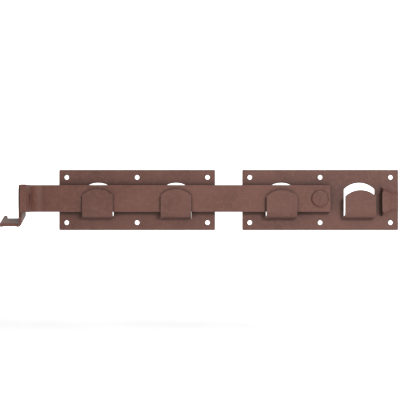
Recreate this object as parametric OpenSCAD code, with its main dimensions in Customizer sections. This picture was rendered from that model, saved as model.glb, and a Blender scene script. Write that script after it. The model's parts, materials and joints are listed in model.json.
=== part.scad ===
// Flat sliding gate bolt with a guide plate and a keeper plate.
// Millimetres. +X is the way the bolt shoots, +Z is up and -Y faces the person at the gate.
// The origin is the centre of the guide plate's back face, on the gate's surface.
// Depths are measured towards -Y, from the front face of the plates.

/* [Plates] */
// Length of each plate
plate_l = 155; // [145:1:200]
// Height of each plate
plate_h = 60; // [52:1:90]
// Thickness of the plate steel
plate_t = 2; // [1.5:0.5:3]
// Corner radius of each plate
plate_corner_r = 1; // [0.5:0.5:4]
// Gap between the two plates with the gate closed
plate_gap = 27; // [5:1:40]

/* [Screw holes] */
// Diameter of each screw hole
screw_d = 4.5; // [3:0.5:6]
// Distance from a plate's end to the centre of its outer holes
hole_inset_x = 7.5; // [5:0.5:10]
// Distance from a plate's long edge to the centre of its holes
hole_inset_z = 7.5; // [5:0.5:8]

/* [Hooks] */
// Width of each hook
hook_w = 30.2; // [24:0.1:34]
// Distance between the two hooks of one plate
hook_spacing = 77.5; // [70:0.5:90]
// Height of the underside of each hook, from the plate's centre line
hook_bottom_z = -17.5; // [-18.5:0.5:-17]
// Height of the top of each window, from the plate's centre line
window_top_z = 17; // [15.5:0.1:18]
// Radius of the arched end of each hook and of its window
arch_r = 21.4; // [18:0.1:28]
// Clear depth inside the guide plate's hooks
guide_depth = 6.8; // [6.7:0.1:7.5]
// Clear depth inside the keeper plate's hooks, which let the stop rivet through
keeper_depth = 8.2; // [8.2:0.1:9]
// Width of the sheared slit at each side of a hook
slit_w = 0.1; // [0.1:0.1:0.5]

/* [End stop] */
// Length of the pressed end stop, back from the plate's end
stop_l = 16.8; // [16:0.1:20]
// Height of its lip in front of the plate
stop_lip_h = 7; // [5:0.5:8]
// Height of its tail in front of the plate, at the plate's end
stop_tail_h = 1.8; // [1:0.1:3]
// Width of its foot at the lip
stop_lip_w = 30; // [24:1:32]
// Width of its foot at the tail
stop_tail_w = 21; // [16:1:24]

/* [Bar] */
// Length of the flat bar, from the flange to the tip
bar_l = 300; // [296:1:302]
// Width of the flat bar
bar_w = 26.7; // [22:0.1:27]
// Thickness of the flat bar
bar_t = 6; // [5:0.5:6]
// Radius of the bar's long edges
bar_edge_r = 0.8; // [0.3:0.1:1.5]
// Gap between the bar's back and the plates
bar_gap = 0.3; // [0.2:0.1:0.4]
// Height of the bar's centre line above the plates' centre line
bar_z = 1.5; // [0:0.1:1.5]
// Distance from the guide plate's centre to the flange's outer face
flange_x = 108.5; // [106:0.1:112]
// Depth of the flange's near end
flange_depth = 48; // [44:1:56]
// Inside radius of the bend between the bar and the flange
bend_r = 10; // [4:0.5:10]

/* [Stop rivet] */
// Diameter of the rivet's head
rivet_head_d = 16.6; // [12:0.1:18]
// Height of the rivet's head in front of the bar
rivet_head_h = 1.5; // [1:0.1:1.5]
// Diameter of the rivet's shank
rivet_shank_d = 8; // [5:0.5:9]
// Distance from the bar's tip to the rivet's centre
rivet_inset = 10.5; // [10:0.5:12]

/* [Pull handle] */
// Thickness of the handle's strip
handle_t = 3; // [2:0.5:3]
// Depth of the handle's centre line
handle_depth = 25; // [25:0.5:30]
// Width of the handle's strip
handle_w = 26; // [20:0.5:26]
// Width of the handle across its eye
eye_w = 28.4; // [26.5:0.1:30]
// Diameter of the padlock hole through the eye and the flange
padlock_d = 9; // [7:0.5:13]
// Drop of the foot's top face below the bar's underside, at the strip's far edge
foot_drop = 3.4; // [0.5:0.1:6]
// Slope of the foot, down towards the person
foot_tilt = 16.1; // [0:0.1:25]
// Length of the foot beyond the strip's outer face
foot_l = 18.3; // [14:0.1:24]
// Width of the foot's neck
neck_w = 16.5; // [10:0.5:18]
// Depth of the neck's centre line
neck_depth = 28.5; // [26:0.5:29]
// Length of the flared end of the foot
flare_l = 3.6; // [3:0.1:6]
// Width of the flared end of the foot
flare_w = 26; // [20:0.5:28]
// Outside radius of the bend between the strip and the foot
handle_bend_r = 3.5; // [3.1:0.1:5]

/* [Hidden] */

$fn = 64;
over = 1;
brown = [0.44, 0.30, 0.27];
dark_brown = [0.40, 0.28, 0.25];

front_y = -plate_t;
hinge_r = 1;
keeper_x = plate_l + plate_gap;
hole_x = plate_l / 2 - hole_inset_x;
hole_z = plate_h / 2 - hole_inset_z;
hook_floor_z = hook_bottom_z + plate_t;
hinge_z = hook_bottom_z - hinge_r;
window_h = window_top_z - hinge_z;

stop_x = plate_l / 2 - stop_l;
stop_z = -1.6;
stop_shoulder = 0.32;
stop_taper_from = 2.5;
stop_taper_l = 7.5;
stop_overhang = 2;
stop_sink = 0.15;
stop_inset = 0.8;
stop_rim = 1.6;
stop_draw = 0.2;
stop_steps = 8;
stop_sides = 14;

bar_back_y = front_y - bar_gap;
bar_front_y = bar_back_y - bar_t;
bend_x = -flange_x + bar_t + bend_r;
bend_y = bar_front_y - bend_r;
flange_end_y = front_y - flange_depth;
tip_x = bar_l - flange_x;
rivet_x = tip_x - rivet_inset;
rivet_clearance = 0.03;
rivet_chamfer = 0.4;

handle_y = front_y - handle_depth;
strip_x = -flange_x - handle_t;
strip_top_z = bar_z + bar_w / 2;
strip_corner_r = 4;
foot_z = bar_z - bar_w / 2 - foot_drop;
foot_pivot_y = handle_y + handle_w / 2;
foot_end_x = strip_x - foot_l;
neck_y = front_y - neck_depth;
neck_fillet_r = 1.5;
flare_corner_r = 1.2;
padlock_y = handle_y;

// Rectangle with round corners, centred
module rounded_rect(w, h, r) {
    square([w - 2 * r, h], center = true);
    square([w, h - 2 * r], center = true);
    for (sx = [-1, 1], sy = [-1, 1])
        translate([sx * (w / 2 - r), sy * (h / 2 - r)])
            circle(r);
}

// Quarter of a ring about the origin, in the quadrant given by the two signs
module quarter_ring(r_in, r_out, sx, sy) {
    intersection() {
        difference() {
            circle(r_out);
            circle(r_in);
        }
        translate([min(0, sx * (r_out + over)), min(0, sy * (r_out + over))])
            square(r_out + over);
    }
}

// Places a drawing of the X-Z plane, with its thickness running back from y_front
module from_front(y_front, thickness) {
    translate([0, y_front + thickness, 0])
        rotate([90, 0, 0])
            linear_extrude(thickness)
                children();
}

// Places a drawing of the depth-Z plane, with its length along X about x_mid
module across(x_mid, length) {
    translate([x_mid - length / 2, front_y, 0])
        rotate([90, 0, 90])
            linear_extrude(length)
                mirror([1, 0])
                    children();
}

// Band of width w with an arched top
module arched(w, bottom_z, top_z) {
    arch_z = top_z - arch_r;
    translate([-w / 2, bottom_z])
        square([w, arch_z - bottom_z]);
    intersection() {
        translate([0, arch_z])
            circle(arch_r, $fn = 180);
        translate([-w / 2, arch_z - over])
            square([w, arch_r + 2 * over]);
    }
}

// Side view of a hook: out of the plate, forward, and up in front of the bar
module hook_profile(depth, tip_z) {
    bend = depth / 2;
    bend_z = hook_floor_z + bend;
    translate([hinge_r, hinge_z])
        quarter_ring(hinge_r, hinge_r + plate_t, -1, 1);
    translate([hinge_r, hook_bottom_z])
        square([depth - bend - hinge_r, plate_t]);
    translate([depth - bend, bend_z])
        quarter_ring(bend, bend + plate_t, 1, -1);
    translate([depth, bend_z])
        square([plate_t, tip_z - bend_z]);
}

// One hook, whose developed length is the height of the window that it leaves
module hook(depth) {
    bend = depth / 2;
    curved = (hinge_r + plate_t / 2 + bend + plate_t / 2) * PI / 2;
    level = depth - bend - hinge_r;
    tip_z = hook_floor_z + bend + window_h - curved - level;
    intersection() {
        across(0, hook_w)
            hook_profile(depth, tip_z);
        from_front(front_y - depth - plate_t - over, depth + 2 * plate_t + 2 * over)
            arched(hook_w + over, hinge_z, tip_z);
    }
}

// Blank of a plate with its six screw holes and two windows
module plate_blank() {
    from_front(front_y, plate_t)
        difference() {
            rounded_rect(plate_l, plate_h, plate_corner_r);
            for (x = [-hole_x, 0, hole_x], z = [-hole_z, hole_z])
                translate([x, z])
                    circle(d = screw_d);
            for (sx = [-1, 1])
                translate([sx * hook_spacing / 2, 0])
                    arched(hook_w + 2 * slit_w, hinge_z, window_top_z);
        }
}

module plate_with_hooks(depth) {
    plate_blank();
    for (sx = [-1, 1])
        translate([sx * hook_spacing / 2, 0, 0])
            hook(depth);
}

module guide_plate() {
    color(brown)
        plate_with_hooks(guide_depth);
}

// Rises from 0 to 1 along an S curve as t goes from 0 to 1
function ease(t) = let (c = min(1, max(0, t))) c * c * (3 - 2 * c);

// Half the width of the end stop at a distance s from its lip
function stop_half_w(s) =
    (stop_lip_w + (stop_tail_w - stop_lip_w) * ease((s - stop_taper_from) / stop_taper_l)) / 2;

// Rise of the end stop at a distance s from its lip and a fraction u of its half width
function stop_rise(s, u) =
    (stop_lip_h + (stop_tail_h - stop_lip_h) * s / stop_l)
    * ease((1 - abs(u)) / stop_shoulder);

// Point on a face of the end stop whose edges lie at foot_y, drawn in by inset
function stop_point(s, u, foot_y, inset) = [
    stop_x + s,
    foot_y - stop_rise(s, u),
    stop_z + u * (stop_half_w(s) - inset)
];

// Section of the pressed sheet: along its front face and back along its rear face
function stop_ring(s) = [
    for (i = [0:stop_sides])
        stop_point(s, 2 * i / stop_sides - 1, front_y + stop_sink, 0),
    for (i = [0:stop_sides])
        stop_point(s, 1 - 2 * i / stop_sides, -stop_sink, stop_inset)
];

// Sheet through a row of rings, each a front row and the back row that faces it, reversed
module loft(rings) {
    n = len(rings[0]);
    last = (len(rings) - 1) * n;
    strips = [0:n / 2 - 2];
    polyhedron(
        points = [for (ring = rings) each ring],
        faces = [
            for (i = strips)
                each [[n - 1 - i, n - 2 - i, i + 1], [n - 1 - i, i + 1, i]],
            for (i = strips)
                each [
                    [last + i, last + i + 1, last + n - 2 - i],
                    [last + i, last + n - 2 - i, last + n - 1 - i]
                ],
            for (i = [0:len(rings) - 2], j = [0:n - 1])
                let (a = i * n + j, b = i * n + (j + 1) % n)
                each [[a, b, a + n], [b, b + n, a + n]]
        ]
    );
}

// Opening left in the plate behind the end stop, clear of the sheet's feet
module stop_opening() {
    open_l = stop_l - stop_overhang + over;
    ahead = [for (i = [0:stop_steps]) stop_overhang + open_l * i / stop_steps];
    upper = [for (s = ahead) [stop_x + s, stop_z + stop_half_w(s) - stop_rim]];
    lower = [for (s = ahead) [stop_x + s, stop_z - stop_half_w(s) + stop_rim]];
    polygon(concat(lower, [for (i = [stop_steps:-1:0]) upper[i]]));
}

module keeper_plate() {
    color(brown)
        translate([keeper_x, 0, 0]) {
            difference() {
                plate_with_hooks(keeper_depth);
                from_front(front_y - over, plate_t + 2 * over)
                    stop_opening();
            }
            loft([for (i = [0:stop_steps]) stop_ring((stop_l - stop_draw) * i / stop_steps)]);
        }
}

// Cross section of the flat bar, its thickness along the first axis
module bar_section() {
    rounded_rect(bar_t, bar_w, bar_edge_r);
}

module slide_bar() {
    color(brown)
        difference() {
            union() {
                translate([bend_x, (bar_back_y + bar_front_y) / 2, bar_z])
                    rotate([90, 0, 90])
                        linear_extrude(tip_x - bend_x)
                            bar_section();
                translate([bend_x, bend_y, bar_z])
                    rotate([0, 0, 90])
                        rotate_extrude(angle = 90)
                            translate([bend_r + bar_t / 2, 0])
                                bar_section();
                translate([-flange_x + bar_t / 2, bend_y, bar_z])
                    rotate([90, 0, 0])
                        linear_extrude(bend_y - flange_end_y)
                            bar_section();
            }
            padlock_hole();
            translate([rivet_x, bar_back_y + over, bar_z])
                rotate([90, 0, 0])
                    cylinder(h = bar_t + 2 * over, d = rivet_shank_d + 2 * rivet_clearance);
        }
}

// Cutter for the padlock hole, through the flange and the handle's eye
module padlock_hole() {
    translate([strip_x - over, padlock_y, bar_z])
        rotate([0, 90, 0])
            cylinder(h = handle_t + bar_t + 2 * over, d = padlock_d);
}

// Button-headed rivet, flush with the bar's back
module stop_rivet() {
    color(dark_brown)
        translate([rivet_x, bar_back_y, bar_z])
            rotate([90, 0, 0])
                rotate_extrude()
                    polygon([
                        [0, 0],
                        [rivet_shank_d / 2, 0],
                        [rivet_shank_d / 2, bar_t],
                        [rivet_head_d / 2, bar_t],
                        [rivet_head_d / 2, bar_t + rivet_head_h - rivet_chamfer],
                        [rivet_head_d / 2 - rivet_chamfer, bar_t + rivet_head_h],
                        [0, bar_t + rivet_head_h]
                    ]);
}

// Outline of the upright strip in the Y-Z plane, swollen to an eye round the padlock hole
module strip_outline() {
    swell = (eye_w - handle_w) / 2;
    half_h = bar_w / 2;
    swell_r = (half_h * half_h + swell * swell) / (2 * swell);
    drop = 24;
    translate([handle_y, strip_top_z - strip_corner_r])
        for (sy = [-1, 1])
            translate([sy * (handle_w / 2 - strip_corner_r), 0])
                circle(strip_corner_r);
    translate([handle_y - handle_w / 2 + strip_corner_r, strip_top_z - strip_corner_r])
        square([handle_w - 2 * strip_corner_r, strip_corner_r]);
    translate([handle_y - handle_w / 2, foot_z - drop])
        square([handle_w, bar_w + drop - strip_corner_r]);
    intersection() {
        intersection_for (sy = [-1, 1])
            translate([handle_y + sy * (swell_r - eye_w / 2), bar_z])
                circle(swell_r, $fn = 180);
        translate([handle_y - handle_w, bar_z - half_h])
            square([2 * handle_w, 2 * half_h - strip_corner_r]);
    }
}

// Fillet of an inside corner at the origin, in the quadrant given by the two signs
module fillet(r, sx, sy) {
    difference() {
        translate([min(0, sx * r), min(0, sy * r)])
            square(r);
        translate([sx * r, sy * r])
            circle(r);
    }
}

// Plan of the foot in the X-Y plane: a neck with a flared end
module foot_outline() {
    root_l = handle_bend_r + neck_fillet_r;
    root_x = -flange_x - root_l;
    translate([root_x, handle_y - handle_w / 2])
        square([root_l + over, handle_w]);
    translate([foot_end_x + over, neck_y - neck_w / 2])
        square([-flange_x - foot_end_x, neck_w]);
    translate([foot_end_x + flare_l / 2, handle_y])
        rounded_rect(flare_l, flare_w, flare_corner_r);
    translate([foot_end_x + flare_l, neck_y + neck_w / 2])
        fillet(neck_fillet_r, 1, 1);
    translate([root_x, neck_y + neck_w / 2])
        fillet(neck_fillet_r, -1, 1);
}

// Strip and foot in section, joined by a bend, with the foot's top face at height 0
module handle_section() {
    centre_x = -flange_x - handle_bend_r;
    centre_z = handle_bend_r - handle_t;
    translate([centre_x, centre_z])
        quarter_ring(handle_bend_r - handle_t, handle_bend_r, 1, -1);
    translate([strip_x, centre_z])
        square([handle_t, 3 * plate_h]);
    translate([foot_end_x - over, -handle_t])
        square([centre_x - foot_end_x + over, handle_t]);
}

module pull_handle() {
    color(brown)
        difference() {
            intersection() {
                translate([0, foot_pivot_y, foot_z])
                    rotate([90 + foot_tilt, 0, 0])
                        translate([0, 0, -plate_h])
                            linear_extrude(2 * plate_h)
                                handle_section();
                union() {
                    translate([-flange_x - handle_bend_r, 0, 0])
                        rotate([90, 0, 90])
                            linear_extrude(handle_bend_r + over)
                                strip_outline();
                    translate([0, 0, foot_z - plate_h / 2])
                        linear_extrude(plate_h / 2 + over)
                            foot_outline();
                }
            }
            padlock_hole();
        }
}

guide_plate();
keeper_plate();
slide_bar();
pull_handle();
stop_rivet();
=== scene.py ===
"""Flat sliding gate bolt: brown satin paint on pressed plates and a flat bar."""
import json
import math

import bmesh
import bpy
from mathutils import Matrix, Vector


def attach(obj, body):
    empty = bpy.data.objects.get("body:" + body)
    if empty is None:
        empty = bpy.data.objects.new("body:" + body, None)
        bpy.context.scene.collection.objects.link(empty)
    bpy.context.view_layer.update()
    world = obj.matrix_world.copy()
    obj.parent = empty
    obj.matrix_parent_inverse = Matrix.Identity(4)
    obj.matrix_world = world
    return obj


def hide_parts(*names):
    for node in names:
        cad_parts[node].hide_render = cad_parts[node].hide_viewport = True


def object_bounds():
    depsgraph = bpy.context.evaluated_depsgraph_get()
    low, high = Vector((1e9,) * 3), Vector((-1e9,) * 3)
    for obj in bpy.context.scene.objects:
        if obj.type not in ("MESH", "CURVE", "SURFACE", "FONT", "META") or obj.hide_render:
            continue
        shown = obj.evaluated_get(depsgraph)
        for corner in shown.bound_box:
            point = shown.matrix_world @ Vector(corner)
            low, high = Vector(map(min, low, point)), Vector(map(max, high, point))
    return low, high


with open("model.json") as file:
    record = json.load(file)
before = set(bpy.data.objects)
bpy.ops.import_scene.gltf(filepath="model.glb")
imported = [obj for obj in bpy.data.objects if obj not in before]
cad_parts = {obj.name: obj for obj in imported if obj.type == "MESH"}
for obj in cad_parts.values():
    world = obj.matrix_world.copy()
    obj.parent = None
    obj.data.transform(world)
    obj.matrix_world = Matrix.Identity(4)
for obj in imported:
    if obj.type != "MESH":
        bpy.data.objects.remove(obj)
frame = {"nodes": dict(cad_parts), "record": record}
cad_low, cad_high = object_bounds()

MM = 0.001
SHARP_ANGLE = math.radians(35)
WELD_MM = 0.002
FLAT_ANGLE = math.radians(0.5)
BEVEL_SEGMENTS = 2
WHITE = (1, 1, 1, 1)

# Start along X, centre height and half height of the end stop, which is pressed with round creases.
END_STOP = (241 * MM, -1.6 * MM, 16 * MM)

RIVET_SHANK_R = 4 * MM
RIVET_HEAD_H = 1.5 * MM
RIVET_RIM_R = 1.3 * MM
RIVET_RIM_STEPS = 6
RIVET_SIDES = 64

VIEW_X = 0.0625
PLATES_Y = -0.002
CAMERA_DISTANCE = 1.05
VIEW_HALF_WIDTH = 0.1988
STAGE_X = 0.06
FLOOR_DROP = 0.13
FLOOR_SIZE = 9.0
BACKDROP_SIZE = 6
BACKDROP_Y = 2.6
BODY_OF = {
    node: body
    for body, nodes in frame["record"]["behaviour"]["bodies"].items()
    for node in nodes
}


# ---------------------------------------------------------------- materials

class Nodes:
    """Adds shader nodes to one material and links them."""

    def __init__(self, name):
        self.material = bpy.data.materials.new(name)
        self.material.use_nodes = True
        self.tree = self.material.node_tree
        self.shader = self.tree.nodes["Principled BSDF"]

    def add(self, kind, inputs=None, **settings):
        node = self.tree.nodes.new("ShaderNode" + kind)
        for key, value in settings.items():
            setattr(node, key, value)
        for key, value in (inputs or {}).items():
            self.feed(node, key, value)
        return node

    def feed(self, node, key, value):
        if isinstance(value, bpy.types.NodeSocket):
            self.tree.links.new(value, node.inputs[key])
        else:
            node.inputs[key].default_value = value

    def object_coords(self, stretch=(1, 1, 1)):
        coords = self.add("TexCoord")
        return self.add(
            "Mapping", {"Vector": coords.outputs["Object"], "Scale": stretch}
        ).outputs["Vector"]

    def noise(self, vector, size_mm, detail=3.0, roughness=0.5):
        return self.add(
            "TexNoise",
            {"Vector": vector, "Scale": 1000 / size_mm, "Detail": detail, "Roughness": roughness},
        ).outputs["Fac"]

    def ramp(self, factor, low, high, out_low=0.0, out_high=1.0):
        return self.add(
            "MapRange",
            {
                "Value": factor,
                "From Min": low,
                "From Max": high,
                "To Min": out_low,
                "To Max": out_high,
            },
        ).outputs["Result"]

    def maths(self, operation, a, b=0.0):
        return self.add("Math", {0: a, 1: b}, operation=operation).outputs[0]

    def mix(self, factor, a, b):
        node = self.add("Mix", data_type="RGBA")
        self.feed(node, 0, factor)
        self.feed(node, 6, a)
        self.feed(node, 7, b)
        return node.outputs[2]

    def edges(self, radius_mm):
        """1 on a worn outside edge and 0 on a flat face."""
        soft = self.add("Bevel", {"Radius": radius_mm * MM}, samples=6)
        flat = self.add("NewGeometry")
        dot = self.add(
            "VectorMath",
            {0: soft.outputs["Normal"], 1: flat.outputs["Normal"]},
            operation="DOT_PRODUCT",
        ).outputs["Value"]
        return self.ramp(dot, 0.99, 0.80)

    def corners(self, reach_mm, open_at, shut_at, strength):
        """Painted shade from ambient occlusion: darkens inside corners and gaps, and thins out in
        the open.
        """
        shade = self.add("AmbientOcclusion", {"Distance": reach_mm * MM}, samples=8)
        return self.ramp(shade.outputs["AO"], open_at, shut_at, 0, strength)


def tinted(colour, tint):
    return tuple(c * t for c, t in zip(colour, tint)) + (1,)


def brown_paint(name, tint=(1.0, 1.0, 1.0), roughness=0.56, streaks=0.0):
    """Satin brown paint: cloudy colour, painted shade in corners and gaps, fine orange peel, rubbed
    edges.
    """
    n = Nodes(name)
    space = n.object_coords()
    base = tinted((0.128, 0.050, 0.035), tint)
    light = tinted((0.158, 0.068, 0.050), tint)
    dark = tinted((0.098, 0.036, 0.024), tint)
    rubbed = tinted((0.260, 0.150, 0.120), tint)
    # Near-black brown laid on as painted shade in corners, creases and gaps
    painted_shade = tinted((0.026, 0.008, 0.005), tint)

    clouds = n.noise(space, 38, 4, 0.55)
    mottle = n.noise(space, 3.2, 3, 0.6)
    colour = n.mix(n.ramp(clouds, 0.32, 0.62), dark, base)
    colour = n.mix(n.ramp(mottle, 0.45, 0.75, 0, 0.75), colour, light)
    # Painted shade: the wide reach darkens the bend and hollows, the tight reach darkens creases,
    # gaps and the ring round the rivet head
    colour = n.mix(n.corners(36.0, 0.88, 0.40, 0.70), colour, painted_shade)
    colour = n.mix(n.corners(1.6, 0.90, 0.50, 0.80), colour, painted_shade)

    breakup = n.ramp(n.noise(space, 5, 4, 0.6), 0.40, 0.62)
    wear = n.maths("MULTIPLY", n.edges(0.7), breakup)
    wear = n.maths("MULTIPLY", wear, 0.65)
    if streaks:
        along = n.object_coords((0.03, 1, 1))
        lines = n.ramp(n.noise(along, 1.1, 3, 0.6), 0.55, 0.74, 0, streaks)
        wear = n.maths("MAXIMUM", wear, lines)
    n.feed(n.shader, "Base Color", n.mix(wear, colour, rubbed))

    gloss = n.ramp(mottle, 0.3, 0.7, roughness - 0.06, roughness + 0.08)
    n.feed(n.shader, "Roughness", n.maths("SUBTRACT", gloss, n.maths("MULTIPLY", wear, 0.12)))
    n.shader.inputs["Specular IOR Level"].default_value = 0.4

    peel = n.add(
        "Bump",
        {"Height": n.noise(space, 0.9, 2, 0.5), "Strength": 0.20, "Distance": 0.10 * MM},
    )
    waves = n.add(
        "Bump",
        {
            "Height": n.noise(space, 14, 2, 0.5),
            "Strength": 0.35,
            "Distance": 0.35 * MM,
            "Normal": peel.outputs["Normal"],
        },
    )
    n.feed(n.shader, "Normal", waves.outputs["Normal"])
    return n.material


def glowing_paper(name, glow):
    """Matt paper that gives off a little white light of its own."""
    n = Nodes(name)
    n.shader.inputs["Roughness"].default_value = 0.9
    n.shader.inputs["Emission Color"].default_value = WHITE
    n.shader.inputs["Emission Strength"].default_value = glow
    return n


def floor_paper():
    n = glowing_paper("floor_paper", 0.18)
    grain = n.noise(n.object_coords(), 2.5, 2, 0.5)
    n.feed(n.shader, "Base Color", n.mix(grain, (0.93, 0.93, 0.93, 1), (0.96, 0.96, 0.96, 1)))
    n.shader.inputs["Specular IOR Level"].default_value = 0.1
    return n.material


def backdrop_paper():
    n = glowing_paper("backdrop_paper", 1.0)
    n.shader.inputs["Base Color"].default_value = (0.95, 0.95, 0.95, 1)
    return n.material


# ---------------------------------------------------------------- pieces

def new_piece(name, mesh, material, body):
    piece = bpy.data.objects.new(name, mesh)
    bpy.context.scene.collection.objects.link(piece)
    mesh.materials.clear()
    mesh.materials.append(material)
    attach(piece, body)
    return piece


def to_round(edge, pressed):
    """True for a sharp edge of the solid, apart from those of a pressed form."""
    if len(edge.link_faces) != 2 or edge.calc_face_angle(0) <= SHARP_ANGLE:
        return False
    if pressed is None:
        return True
    start_x, centre_z, half_height = pressed
    middle = (edge.verts[0].co + edge.verts[1].co) / 2
    return middle.x <= start_x or abs(middle.z - centre_z) >= half_height


def soft_copy(node, material, radius_mm, pressed=None):
    """Copy of a CAD node with its sharp edges rounded off, as under a coat of paint.

    pressed is the start, centre height and half height of a form that is rounded already.
    """
    mesh = frame["nodes"][node].data.copy()
    work = bmesh.new()
    work.from_mesh(mesh)
    bmesh.ops.remove_doubles(work, verts=work.verts, dist=WELD_MM * MM)
    bmesh.ops.dissolve_limit(work, angle_limit=FLAT_ANGLE, verts=work.verts, edges=work.edges)
    weight = work.edges.layers.float.new("bevel_weight_edge")
    for edge in work.edges:
        edge[weight] = 1.0 if to_round(edge, pressed) else 0.0
    work.to_mesh(mesh)
    work.free()
    piece = new_piece(node + "_look", mesh, material, BODY_OF[node])
    bevel = piece.modifiers.new("rounding", "BEVEL")
    bevel.width = radius_mm * MM
    bevel.segments = BEVEL_SEGMENTS
    bevel.limit_method = "WEIGHT"
    bevel.use_clamp_overlap = False
    for face in mesh.polygons:
        face.use_smooth = True
    shade = piece.modifiers.new("shading", "WEIGHTED_NORMAL")
    shade.keep_sharp = True
    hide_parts(node)


def button_rivet(material):
    """Rivet turned about its own axis, with the rim of its head rounded over."""
    points = [v.co for v in frame["nodes"]["stop_rivet"].data.vertices]
    low = Vector(min(p[axis] for p in points) for axis in range(3))
    high = Vector(max(p[axis] for p in points) for axis in range(3))
    centre_x, centre_z = (low.x + high.x) / 2, (low.z + high.z) / 2
    head_r = (high.x - low.x) / 2
    under_head = low.y + RIVET_HEAD_H
    profile = [
        (0, high.y),
        (RIVET_SHANK_R, high.y),
        (RIVET_SHANK_R, under_head),
        (head_r, under_head),
    ]
    for step in range(RIVET_RIM_STEPS + 1):
        turn = math.radians(90 * step / RIVET_RIM_STEPS)
        radius = head_r - RIVET_RIM_R + RIVET_RIM_R * math.cos(turn)
        profile.append((radius, low.y + RIVET_RIM_R - RIVET_RIM_R * math.sin(turn)))
    profile.append((0, low.y))
    work = bmesh.new()
    rings = []
    for radius, y in profile:
        if radius == 0:
            rings.append([work.verts.new((centre_x, y, centre_z))] * RIVET_SIDES)
            continue
        ring = []
        for k in range(RIVET_SIDES):
            turn = math.tau * k / RIVET_SIDES
            x = centre_x + radius * math.cos(turn)
            ring.append(work.verts.new((x, y, centre_z + radius * math.sin(turn))))
        rings.append(ring)
    for ring, after in zip(rings, rings[1:]):
        for k in range(RIVET_SIDES):
            n = (k + 1) % RIVET_SIDES
            corners = dict.fromkeys((ring[k], ring[n], after[n], after[k]))
            work.faces.new(list(corners))
    bmesh.ops.recalc_face_normals(work, faces=work.faces)
    for face in work.faces:
        face.smooth = True
    for edge in work.edges:
        edge.smooth = edge.calc_face_angle(0) < SHARP_ANGLE
    mesh = bpy.data.meshes.new("stop_rivet_look")
    work.to_mesh(mesh)
    work.free()
    piece = new_piece("stop_rivet_look", mesh, material, BODY_OF["stop_rivet"])
    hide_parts("stop_rivet")


plate_paint = brown_paint("plate_paint", tint=(0.92, 0.96, 0.98))
bar_paint = brown_paint("bar_paint", streaks=0.10)
rivet_paint = brown_paint("rivet_paint", tint=(0.95, 0.95, 0.95), roughness=0.52)

soft_copy("guide_plate", plate_paint, radius_mm=0.15)
soft_copy("keeper_plate", plate_paint, radius_mm=0.15, pressed=END_STOP)
soft_copy("slide_bar", bar_paint, radius_mm=0.4)
soft_copy("pull_handle", bar_paint, radius_mm=0.35)
button_rivet(rivet_paint)


# ---------------------------------------------------------------- stage

def paper_sheet(name, size, place, tilt, material):
    bpy.ops.mesh.primitive_plane_add(size=size, location=place)
    sheet = bpy.context.object
    sheet.name = name
    sheet.rotation_euler = (math.radians(tilt), 0, 0)
    sheet.data.materials.append(material)
    return sheet


def make_floor():
    """Pale floor well below the bolt, which hangs on its gate and not on the floor."""
    place = (STAGE_X, 0, cad_low.z - FLOOR_DROP)
    paper_sheet("floor", FLOOR_SIZE, place, 0, floor_paper())


def make_backdrop():
    """Lit white paper far behind the bolt."""
    place = (STAGE_X, BACKDROP_Y, 0)
    paper_sheet("backdrop", BACKDROP_SIZE, place, 90, backdrop_paper())


def area_light(name, place, target, size, watts):
    lamp = bpy.data.lights.new(name, "AREA")
    lamp.shape = "SQUARE"
    lamp.size = size
    lamp.energy = watts
    light = bpy.data.objects.new(name, lamp)
    light.location = place
    light.rotation_euler = (Vector(target) - Vector(place)).to_track_quat("-Z", "Y").to_euler()
    bpy.context.scene.collection.objects.link(light)


def make_lights():
    world = bpy.data.worlds.new("studio")
    world.use_nodes = True
    background = world.node_tree.nodes["Background"].inputs
    background["Color"].default_value = WHITE
    background["Strength"].default_value = 0.50
    bpy.context.scene.world = world
    bpy.context.scene.view_settings.view_transform = "Standard"
    middle = (VIEW_X, 0, 0)
    area_light("key", (0.66, -1.10, 0.56), middle, size=0.22, watts=11)
    area_light("top", (0.10, -0.35, 1.2), middle, size=0.8, watts=3)


def make_camera():
    """Straight on to the plates' front faces."""
    half_view = math.atan(VIEW_HALF_WIDTH / CAMERA_DISTANCE)
    lens = bpy.data.cameras.new("camera")
    lens.sensor_width = 36
    lens.lens = lens.sensor_width / 2 / math.tan(half_view)
    camera = bpy.data.objects.new("camera", lens)
    camera.location = (VIEW_X, PLATES_Y - CAMERA_DISTANCE, 0)
    camera.rotation_euler = (math.radians(90), 0, 0)
    bpy.context.scene.collection.objects.link(camera)
    bpy.context.scene.camera = camera


make_floor()
make_backdrop()
make_lights()
make_camera()
